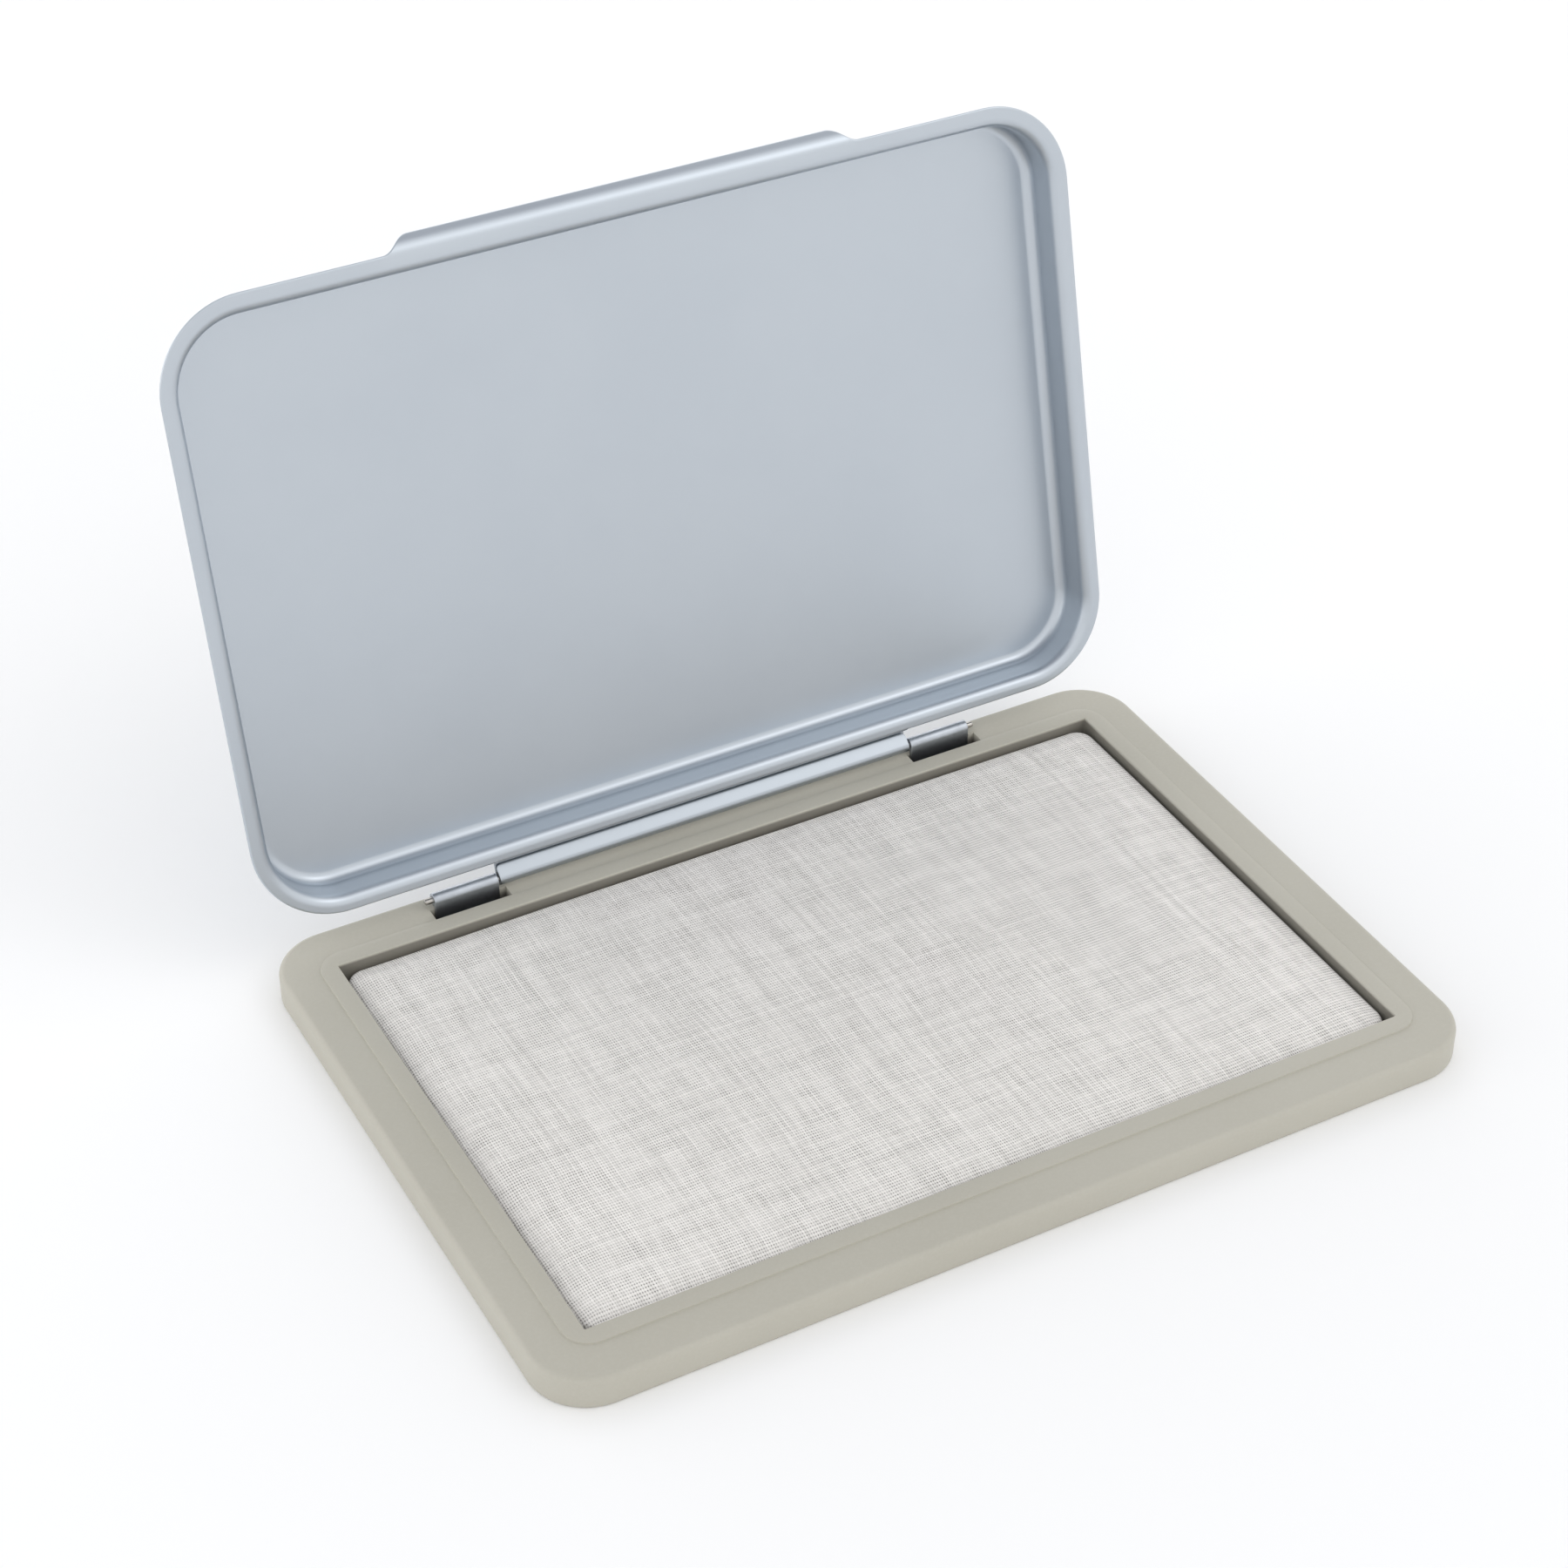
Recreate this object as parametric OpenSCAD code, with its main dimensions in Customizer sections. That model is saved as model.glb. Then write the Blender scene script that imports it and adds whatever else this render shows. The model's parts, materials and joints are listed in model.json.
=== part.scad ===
// Stamp pad in a flat tray with a hinged sheet metal lid.
// Millimetres. +Z is up, the hinge is on the +Y side, the thumb lip is on the -Y side.
// The origin is the middle of the tray's underside. The lid is drawn standing open.

/* [Tray] */
// Outer width of the tray, left to right
tray_width = 124.6; // [124.2:0.1:128]
// Outer depth of the tray, front to back
tray_depth = 85.9; // [85.8:0.1:88]
// Height of the flat ledge that the lid closes on
ledge_height = 4.3; // [4.2:0.1:5]
// Radius of the tray's four corners in plan
tray_corner_radius = 7.5; // [6:0.5:9]
// Rounding of the tray's upper outer edge
tray_edge_radius = 0.8; // [0.5:0.05:2]
// Rounding of the tray's lower outer edge
tray_foot_radius = 0.4; // [0.2:0.1:0.6]
// Height of the raised land round the pad well
land_height = 0.25; // [0.2:0.05:0.3]
// Width of the raised land round the pad well
land_margin = 2.4; // [1.8:0.1:2.5]
// Thickness of the floor under the pad
floor_thickness = 1.0; // [0.8:0.1:1.2]

/* [Pad] */
// Width of the pad well, the nominal pad size
well_width = 110; // [108:0.5:110]
// Depth of the pad well, the nominal pad size
well_depth = 70.5; // [69:0.5:70.5]
// Gap between the pad and the wall of the well
pad_gap = 0.25; // [0.15:0.05:0.5]
// Thickness of the cloth over the pad
cloth_thickness = 0.35; // [0.25:0.05:0.4]
// Thickness of the backing board
board_thickness = 0.8; // [0.6:0.1:0.9]
// Thickness of the felt block
felt_thickness = 1.45; // [1.2:0.05:1.5]
// Radius of the pad's corners in plan
pad_corner_radius = 2.5; // [2:0.25:3]

/* [Lid] */
// Outer width of the lid's rim
lid_width = 123.4; // [122:0.1:123.6]
// Outer depth of the lid's rim without the thumb lip
lid_depth = 80.5; // [79.5:0.1:80.5]
// Depth inside the lid, rim face to panel
lid_inner_height = 5.7; // [5.5:0.1:7]
// Thickness of the lid's sheet
sheet = 0.4; // [0.35:0.05:0.45]
// Radius of the rim's corners in plan
lid_corner_radius = 11.5; // [11:0.5:13]
// Width of the rim from its edge to the inside of the wall
rim_width = 2.45; // [2.2:0.05:2.6]
// Inside radius between the wall and the panel
panel_radius = 1.4; // [1.0:0.1:1.8]
// Inside radius between the wall and the rim
rim_bend_radius = 0.9; // [0.5:0.1:0.9]
// Angle that the lid stands open, from closed
open_angle = 103.5; // [90:0.5:110]

/* [Thumb lip] */
// Width of the thumb lip where it leaves the rim
lip_width = 64; // [50:1:70]
// Length of the thumb lip beyond the rim's edge, along the sheet
lip_length = 2.1; // [1.9:0.05:3]
// Angle that the thumb lip is bent up
lip_angle = 48; // [42:1:50]
// Inside radius of the thumb lip's bend
lip_bend_radius = 1.6; // [1.2:0.1:1.8]

/* [Hinge] */
// Height of the hinge line above the ledge
hinge_rise = 1.25; // [1.2:0.05:1.4]
// Distance of the hinge line behind the middle of the tray
hinge_y = 40.3; // [40.2:0.05:40.4]
// Sideways offset of the whole hinge from the middle of the tray
hinge_shift = -0.5; // [-0.5:0.1:0.5]
// Diameter of the hinge wire
wire_diameter = 0.8; // [0.7:0.05:0.8]
// Length of the hinge wire
wire_length = 81; // [80:0.5:82]
// Thickness of the clip's steel strip
clip_sheet = 0.5; // [0.4:0.05:0.5]
// Width of each hinge clip along the hinge line
clip_width = 8.9; // [8:0.1:9]
// Length of the lid's rolled barrel along the hinge line
barrel_length = 60.4; // [58:0.1:60.4]

/* [Hidden] */
$fn = 96;
eps = 0.01;
hinge_height = ledge_height + hinge_rise;
wire_r = wire_diameter / 2;
run_fit = 0.05;                       // radial running clearance of the barrel on the wire
barrel_in = wire_r + run_fit;
barrel_out = barrel_in + sheet;
clip_out = wire_r + clip_sheet;       // outer radius of a clip's loop
clip_in_x = 30.5;                     // inner end of each clip from the hinge's middle
clip_out_x = clip_in_x + clip_width;
slot_middle = hinge_shift + 0.3;      // the clips sit a little to one side in their slots
slot_in_x = 29.75;
slot_out_x = 40.25;
slot_front = 38.0;
leg_front = hinge_y - clip_out;
slot_back = leg_front + clip_sheet + 0.05;
foot_front = 36.6;
foot_top = 1.1;
land_top = ledge_height + land_height;

// the lid closed: its rim face, and its edges
rim_z = land_top + 0.03;
lid_front = -42.88;
lid_back = lid_front + lid_depth;
panel_z = lid_inner_height;
wall_in = lid_corner_radius - rim_width;          // corner radius of the wall's inner face
wall_out = wall_in + sheet;
bend_in = rim_bend_radius;
bend_out = bend_in + sheet;
lip_start = 0.4;                                  // the thumb lip's bend begins this far inside the rim's edge
lip_run = 3.9;                                    // length of the S-shaped run-out at each end of the thumb lip
lip_flat = lip_length + lip_start - (lip_bend_radius + sheet / 2) * lip_angle * PI / 180 - sheet / 2;

// pad stack, from the floor up
hem_top = floor_thickness + cloth_thickness;
board_top = hem_top + board_thickness;
felt_top = board_top + felt_thickness;
cloth_top = felt_top + cloth_thickness;
cover_w = well_width - 2 * pad_gap;
cover_d = well_depth - 2 * pad_gap;
fill_w = cover_w - 2 * cloth_thickness;
fill_d = cover_d - 2 * cloth_thickness;
edge_r = 1.0;                                     // rounding of the cloth's upper edge

// tongue of the lid, in the closed position: u runs forward from the hinge line, w runs up
rim_w = rim_z - hinge_height;
step_u = (hinge_y - lid_back) - 0.24;             // rear face of the tongue's step
step_r = 0.15;
seam_u = 1.80;
seam_w = barrel_in - 0.04;
tip_d = sqrt(seam_u * seam_u + seam_w * seam_w);
tip_a = atan2(seam_u, seam_w) + acos(barrel_out / tip_d);
leg_k = (seam_w - barrel_in * cos(tip_a)) / sin(tip_a);

// ---------- helpers ----------

// quarter of a ring in the +x +y corner
module quarter_ring(ri, ro) {
  intersection() {
    difference() { circle(r = ro); circle(r = ri); }
    square([ro + 1, ro + 1]);
  }
}

// sweeps a profile (x outward from the corner's centre, y up) round a rounded rectangle
module rim_sweep(w, d, r) {
  for (sx = [-1, 1], sy = [-1, 1])
    translate([sx * (w / 2 - r), sy * (d / 2 - r), 0])
      rotate([0, 0, sx > 0 ? (sy > 0 ? 0 : -90) : (sy > 0 ? 90 : 180)])
        rotate_extrude(angle = 90) children();
  for (sy = [-1, 1])
    translate([-sy * (w / 2 - r), sy * (d / 2 - r), 0])
      rotate([0, 0, sy > 0 ? 0 : 180])
        rotate([90, 0, 90]) linear_extrude(height = w - 2 * r) children();
  for (sx = [-1, 1])
    translate([sx * (w / 2 - r), sx * (d / 2 - r), 0])
      rotate([0, 0, sx > 0 ? -90 : 90])
        rotate([90, 0, 90]) linear_extrude(height = d - 2 * r) children();
}

// section of a slab with its top and bottom outer edges rounded
module slab_section(r, z0, z1, rt, rb) {
  difference() {
    translate([0, z0]) square([r, z1 - z0]);
    if (rt > 0) translate([r - rt, z1 - rt]) difference() { square(rt + 1); circle(r = rt); }
    if (rb > 0) translate([r - rb, z0 + rb]) mirror([0, 1]) difference() { square(rb + 1); circle(r = rb); }
  }
}

module slab(w, d, r, z0, z1, rt = 0, rb = 0) {
  rim_sweep(w, d, r) slab_section(r, z0, z1, rt, rb);
  translate([-(w / 2 - r), -(d / 2 - r), z0]) cube([w - 2 * r, d - 2 * r, z1 - z0]);
}

// ---------- tray ----------

module tray() color([0.70, 0.68, 0.61]) difference() {
  union() {
    slab(tray_width, tray_depth, tray_corner_radius, 0, ledge_height, tray_edge_radius, tray_foot_radius);
    slab(well_width + 2 * land_margin, well_depth + 2 * land_margin, land_margin + 1.0,
         ledge_height - 1, land_top, 0.2);
  }
  translate([-well_width / 2, -well_depth / 2, floor_thickness]) cube([well_width, well_depth, 10]);
  for (s = [-1, 1]) {
    x0 = slot_middle + (s < 0 ? -slot_out_x : slot_in_x);
    translate([x0, slot_front, -1]) cube([slot_out_x - slot_in_x, slot_back - slot_front, 10]);
    translate([x0, foot_front - 0.2, -1]) cube([slot_out_x - slot_in_x, slot_back - foot_front + 0.2, 1 + foot_top]);
  }
}

// ---------- hinge clips and wire ----------

module clip_section() {
  difference() {
    union() {
      translate([hinge_y, hinge_height]) circle(r = clip_out);
      translate([leg_front, foot_top + 0.2]) square([clip_sheet, hinge_height - foot_top - 0.2]);
    }
    translate([hinge_y, hinge_height]) circle(r = wire_r);
    // slit between the loop's end and the leg
    translate([leg_front + clip_sheet, hinge_height - clip_out - 0.1]) square([0.12, 0.62]);
  }
  translate([leg_front - 0.2, foot_top + 0.2]) mirror([0, 1]) quarter_ring(0.2, 0.2 + clip_sheet);
  translate([foot_front, foot_top - clip_sheet]) square([leg_front - 0.2 - foot_front, clip_sheet]);
}

module clip(x0) color([0.62, 0.62, 0.64])
  translate([x0, 0, 0]) rotate([90, 0, 90]) linear_extrude(height = clip_width) clip_section();

module clip_left() clip(hinge_shift - clip_out_x);
module clip_right() clip(hinge_shift + clip_in_x);

module hinge_wire() color([0.66, 0.66, 0.67])
  translate([hinge_shift - wire_length / 2, hinge_y, hinge_height]) rotate([0, 90, 0]) union() {
    cylinder(r1 = wire_r - 0.12, r2 = wire_r, h = 0.12);
    translate([0, 0, 0.12]) cylinder(r = wire_r, h = wire_length - 0.24);
    translate([0, 0, wire_length - 0.12]) cylinder(r1 = wire_r, r2 = wire_r - 0.12, h = 0.12);
  }

// ---------- pad ----------

module pad_board() color([0.62, 0.55, 0.42])
  slab(fill_w, fill_d, pad_corner_radius - cloth_thickness, hem_top, board_top);

module pad_felt() color([0.86, 0.85, 0.80])
  slab(fill_w, fill_d, pad_corner_radius - cloth_thickness, board_top, felt_top, edge_r - cloth_thickness);

module pad_cover() color([0.88, 0.87, 0.85]) difference() {
  slab(cover_w, cover_d, pad_corner_radius, floor_thickness, cloth_top, edge_r);
  slab(fill_w, fill_d, pad_corner_radius - cloth_thickness, hem_top, felt_top, edge_r - cloth_thickness);
  translate([-cover_w / 2 + 7, -cover_d / 2 + 7, 0]) cube([cover_w - 14, cover_d - 14, hem_top + eps]);
}

// ---------- lid ----------

// section of the pan: x outward from the corner's centre, y up from the rim's face
module pan_section() {
  translate([0, panel_z]) square([wall_in - panel_radius, sheet]);
  translate([wall_in - panel_radius, panel_z - panel_radius]) quarter_ring(panel_radius, panel_radius + sheet);
  translate([wall_in, bend_out]) square([sheet, panel_z - panel_radius - bend_out]);
  translate([wall_in + bend_out, bend_out]) rotate(180) quarter_ring(bend_in, bend_out);
  translate([wall_in + bend_out, 0]) square([lid_corner_radius - wall_in - bend_out, sheet]);
}

// thumb lip: x outward from the rim's edge, y up from the rim's face
module lip_section() {
  translate([-lip_start - 0.3, 0]) square([0.3 + eps, sheet]);
  translate([-lip_start, lip_bend_radius + sheet]) intersection() {
    difference() { circle(r = lip_bend_radius + sheet); circle(r = lip_bend_radius); }
    polygon([[0, 0], [0, -8], [8 * tan(lip_angle), -8]]);
  }
  translate([-lip_start, lip_bend_radius + sheet]) rotate(lip_angle) translate([-eps, -lip_bend_radius - sheet]) {
    square([lip_flat + eps, sheet]);
    translate([lip_flat + eps, sheet / 2]) circle(r = sheet / 2);
  }
}

// plan of the thumb lip, with an S-shaped run-out at each end
module lip_plan() {
  h = lip_width / 2;
  reach = 2.1;
  curve = [for (k = [0:16]) let (q = k / 16) [h - lip_run * q, -reach * q * q * (3 - 2 * q)]];
  polygon(concat([[-h, 1.5], [h, 1.5]], curve, [for (k = [16:-1:0]) [-curve[k][0], curve[k][1]]]));
}

// tongue and barrel: x is u, forward from the hinge line, y is w, up
module tongue_section() {
  difference() {
    union() {
      circle(r = barrel_out);
      translate([0, barrel_in]) square([step_u - step_r, sheet]);
      polygon([[barrel_out * sin(tip_a), barrel_out * cos(tip_a)],
               [seam_u, seam_w],
               [barrel_in * sin(tip_a) - leg_k * cos(tip_a), seam_w],
               [barrel_in * sin(tip_a), barrel_in * cos(tip_a)]]);
    }
    circle(r = barrel_in);
  }
  // bend down into the step, the step, and the bend out into the rim
  translate([step_u - step_r, barrel_in - step_r]) quarter_ring(step_r, step_r + sheet);
  translate([step_u, rim_w + step_r + sheet]) square([sheet, barrel_in - step_r - rim_w - step_r - sheet]);
  translate([step_u + step_r + sheet, rim_w + step_r + sheet]) rotate(180) quarter_ring(step_r, step_r + sheet);
  translate([step_u + step_r + sheet - eps, rim_w]) square([0.6, sheet]);
}

module lid_closed() {
  translate([hinge_shift, 0, 0]) {
    difference() {
      translate([0, (lid_front + lid_back) / 2, rim_z]) {
        rim_sweep(lid_width, lid_depth, lid_corner_radius) pan_section();
        translate([-(lid_width / 2 - lid_corner_radius), -(lid_depth / 2 - lid_corner_radius), panel_z])
          cube([lid_width - 2 * lid_corner_radius, lid_depth - 2 * lid_corner_radius, sheet]);
      }
      // the rim turns up into the tongue along the barrel
      translate([-barrel_length / 2, hinge_y - step_u - step_r - sheet, rim_z - 1])
        cube([barrel_length, 5, 1 + sheet + 0.2]);
      // and into the thumb lip
      translate([-lip_width / 2 + lip_run, lid_front - 1, rim_z - 1])
        cube([lip_width - 2 * lip_run, 1 + lip_start, 1 + sheet + 0.2]);
    }
    translate([-barrel_length / 2, hinge_y, hinge_height])
      rotate([90, 0, 90]) linear_extrude(height = barrel_length) mirror([1, 0]) tongue_section();
    intersection() {
      translate([lip_width / 2, lid_front, rim_z])
        rotate([90, 0, -90]) linear_extrude(height = lip_width) lip_section();
      translate([0, lid_front, rim_z - 1]) linear_extrude(height = 6) lip_plan();
    }
  }
}

module lid_pan() color([0.72, 0.75, 0.78])
  translate([0, hinge_y, hinge_height]) rotate([-open_angle, 0, 0])
    translate([0, -hinge_y, -hinge_height]) lid_closed();

tray();
clip_left();
clip_right();
hinge_wire();
pad_board();
pad_felt();
pad_cover();
lid_pan();
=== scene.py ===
import json
import math
import random

import bmesh
import bpy
from mathutils import Matrix, Vector, kdtree, noise

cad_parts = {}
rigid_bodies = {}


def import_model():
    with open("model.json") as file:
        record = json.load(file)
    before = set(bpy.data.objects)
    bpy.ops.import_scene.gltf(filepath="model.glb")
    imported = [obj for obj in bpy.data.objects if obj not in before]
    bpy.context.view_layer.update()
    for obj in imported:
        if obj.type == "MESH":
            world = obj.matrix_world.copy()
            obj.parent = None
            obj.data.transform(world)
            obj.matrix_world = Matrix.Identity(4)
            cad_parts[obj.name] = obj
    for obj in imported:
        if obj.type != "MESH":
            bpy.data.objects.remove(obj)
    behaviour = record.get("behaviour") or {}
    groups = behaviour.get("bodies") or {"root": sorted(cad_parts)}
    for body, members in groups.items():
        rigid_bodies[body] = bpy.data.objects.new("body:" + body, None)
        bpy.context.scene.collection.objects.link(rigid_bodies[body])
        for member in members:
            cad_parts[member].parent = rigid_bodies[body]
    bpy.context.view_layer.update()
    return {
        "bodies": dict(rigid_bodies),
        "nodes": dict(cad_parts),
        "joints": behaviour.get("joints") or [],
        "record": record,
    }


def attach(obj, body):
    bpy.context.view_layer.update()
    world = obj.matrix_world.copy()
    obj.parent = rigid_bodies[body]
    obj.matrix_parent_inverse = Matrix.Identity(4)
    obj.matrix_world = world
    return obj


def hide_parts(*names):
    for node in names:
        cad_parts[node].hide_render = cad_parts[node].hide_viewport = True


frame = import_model()
nodes = frame["nodes"]
MM = 0.001
random.seed(7)

# ------------------------------------------------------------------ the frame's numbers, in millimetres
HINGE_Y, HINGE_Z = 40.3, 5.55
SHIFT = -0.5                      # the hinge, clips and lid sit this far to the left
OPEN = math.radians(-103.5)
LEDGE, LAND, EDGE = 4.3, 4.55, 0.8
SHEET = 0.4


def open_lid(x, y, z):
    """From the lid's closed place to where it stands open."""
    dy, dz = y - HINGE_Y, z - HINGE_Z
    c, s = math.cos(OPEN), math.sin(OPEN)
    return (x, HINGE_Y + dy * c - dz * s, HINGE_Z + dy * s + dz * c)


def new_object(name, verts, faces, body, smooth_angle=None):
    me = bpy.data.meshes.new(name)
    me.from_pydata([tuple(c * MM for c in v) for v in verts], [], faces)
    bm = bmesh.new()
    bm.from_mesh(me)
    bmesh.ops.remove_doubles(bm, verts=bm.verts, dist=1e-6)
    bmesh.ops.dissolve_degenerate(bm, dist=2e-7, edges=bm.edges)
    bmesh.ops.recalc_face_normals(bm, faces=bm.faces)
    bm.to_mesh(me)
    bm.free()
    me.update()
    o = bpy.data.objects.new(name, me)
    bpy.context.scene.collection.objects.link(o)
    finish_mesh(o, smooth_angle)
    if body:
        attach(o, body)
    return o


def finish_mesh(o, smooth_angle=None):
    me = o.data
    me.polygons.foreach_set("use_smooth", [True] * len(me.polygons))
    if smooth_angle:
        me.set_sharp_from_angle(angle=math.radians(smooth_angle))
    me.update()


def bevel(o, width, angle=50, segments=2):
    m = o.modifiers.new("edge", "BEVEL")
    m.width, m.segments = width * MM, segments
    m.limit_method, m.angle_limit = "ANGLE", math.radians(angle)
    m.use_clamp_overlap = True
    m.harden_normals = False
    return m


def apply_modifiers(o, smooth_angle=None):
    dg = bpy.context.evaluated_depsgraph_get()
    me = bpy.data.meshes.new_from_object(o.evaluated_get(dg), preserve_all_data_layers=True, depsgraph=dg)
    old = o.data
    o.modifiers.clear()
    o.data = me
    me.name = o.name
    bpy.data.meshes.remove(old)
    finish_mesh(o, smooth_angle)


# ------------------------------------------------------------------ node helpers
def material(name):
    m = bpy.data.materials.new(name)
    m.use_nodes = True
    nt = m.node_tree
    return m, nt, nt.nodes["Principled BSDF"]


class Tree:
    """Short calls for the nodes that the materials are made of."""

    def __init__(self, nt):
        self.nt = nt

    def add(self, kind, **inputs):
        n = self.nt.nodes.new(kind)
        for k, v in inputs.items():
            if hasattr(n, k):
                setattr(n, k, v)
        return n

    def put(self, socket, value):
        if isinstance(value, bpy.types.NodeSocket):
            self.nt.links.new(value, socket)
        else:
            socket.default_value = value

    def math(self, op, a, b=None, c=None, clamp=False):
        n = self.nt.nodes.new("ShaderNodeMath")
        n.operation, n.use_clamp = op, clamp
        self.put(n.inputs[0], a)
        if b is not None:
            self.put(n.inputs[1], b)
        if c is not None:
            self.put(n.inputs[2], c)
        return n.outputs[0]

    def noise(self, vec, scale, detail=2.0, rough=0.5, dims="3D"):
        n = self.nt.nodes.new("ShaderNodeTexNoise")
        n.noise_dimensions = dims
        self.put(n.inputs["Vector"], vec)
        n.inputs["Scale"].default_value = scale
        n.inputs["Detail"].default_value = detail
        n.inputs["Roughness"].default_value = rough
        return n.outputs["Fac"]

    def white(self, value, dims="1D"):
        n = self.nt.nodes.new("ShaderNodeTexWhiteNoise")
        n.noise_dimensions = dims
        self.put(n.inputs["W"], value)
        return n.outputs["Value"]

    def range(self, v, a, b, c, d, smooth=False):
        n = self.nt.nodes.new("ShaderNodeMapRange")
        n.interpolation_type = "SMOOTHSTEP" if smooth else "LINEAR"
        n.clamp = True
        self.put(n.inputs[0], v)
        for i, x in enumerate((a, b, c, d)):
            n.inputs[i + 1].default_value = x
        return n.outputs[0]

    def mix(self, f, a, b):
        n = self.nt.nodes.new("ShaderNodeMix")
        n.data_type = "RGBA"
        self.put(n.inputs[0], f)
        self.put(n.inputs[6], a)
        self.put(n.inputs[7], b)
        return n.outputs[2]

    def scaled(self, vec, s):
        n = self.nt.nodes.new("ShaderNodeVectorMath")
        n.operation = "MULTIPLY"
        self.put(n.inputs[0], vec)
        n.inputs[1].default_value = s
        return n.outputs[0]

    def bump(self, height, strength, distance, normal=None):
        n = self.nt.nodes.new("ShaderNodeBump")
        self.put(n.inputs["Height"], height)
        n.inputs["Strength"].default_value = strength
        n.inputs["Distance"].default_value = distance
        if normal is not None:
            self.put(n.inputs["Normal"], normal)
        return n.outputs[0]

    def object_coords(self):
        return self.nt.nodes.new("ShaderNodeTexCoord").outputs["Object"]


def rgb(r, g, b):
    return (r, g, b, 1.0)


# ------------------------------------------------------------------ materials
def lid_paint():
    """Satin blue-grey lacquer on tinplate: a smooth metallic sheet with a very soft cloudiness."""
    m, nt, p = material("lid_satin_lacquer")
    t = Tree(nt)
    co = t.object_coords()
    cloud = t.noise(co, 45.0, 3.0, 0.55)
    fine = t.noise(co, 900.0, 2.0, 0.5)
    col = t.mix(t.range(cloud, 0.3, 0.7, 0.0, 1.0, True), rgb(0.505, 0.548, 0.596), rgb(0.521, 0.564, 0.611))
    # painted shade: the lacquer's colour is darkened round the wire, over the barrel and the tongue, where the sheet
    # curls under
    sep = nt.nodes.new("ShaderNodeSeparateXYZ")
    t.put(sep.inputs[0], co)
    dy = t.math("SUBTRACT", sep.outputs[1], HINGE_Y * 0.001)
    dz = t.math("SUBTRACT", sep.outputs[2], HINGE_Z * 0.001)
    near = t.math("SQRT", t.math("ADD", t.math("MULTIPLY", dy, dy), t.math("MULTIPLY", dz, dz)))
    col = t.mix(t.range(near, 0.0017, 0.0024, 0.20, 0.0, True), col, rgb(0.10, 0.11, 0.12))
    t.put(p.inputs["Base Color"], col)
    rough = t.math("ADD", t.range(cloud, 0.3, 0.7, 0.34, 0.37), t.math("MULTIPLY", t.math("SUBTRACT", fine, 0.5), 0.02))
    t.put(p.inputs["Roughness"], rough)
    p.inputs["Metallic"].default_value = 1.0
    t.put(p.inputs["Normal"], t.bump(fine, 0.03, 0.00001))
    return m


def bare_steel(name, base, rough, slot_shade=0.0, along=(60.0, 2600.0, 2600.0)):
    m, nt, p = material(name)
    t = Tree(nt)
    co = t.object_coords()
    line = t.noise(t.scaled(co, along), 1.0, 3.0, 0.6)
    cloud = t.noise(co, 420.0, 3.0, 0.6)
    dark = tuple(c * 0.86 for c in base)
    col = t.mix(t.range(cloud, 0.35, 0.75, 0.0, 1.0, True), rgb(*base), rgb(*dark))
    # painted shade: the steel's colour darkens towards the bottom, where it goes down into its slot
    sep = nt.nodes.new("ShaderNodeSeparateXYZ")
    t.put(sep.inputs[0], co)
    low = t.range(sep.outputs[2], 0.0043, 0.0054, slot_shade, 0.0, True)
    col = t.mix(low, col, rgb(0.085, 0.075, 0.085))
    t.put(p.inputs["Base Color"], col)
    t.put(p.inputs["Roughness"], t.math("ADD", t.range(line, 0.25, 0.75, rough - 0.03, rough + 0.04), t.range(cloud, 0.3, 0.8, 0.0, 0.04)))
    p.inputs["Metallic"].default_value = 1.0
    t.put(p.inputs["Normal"], t.bump(line, 0.05, 0.000008))
    return m


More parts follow.
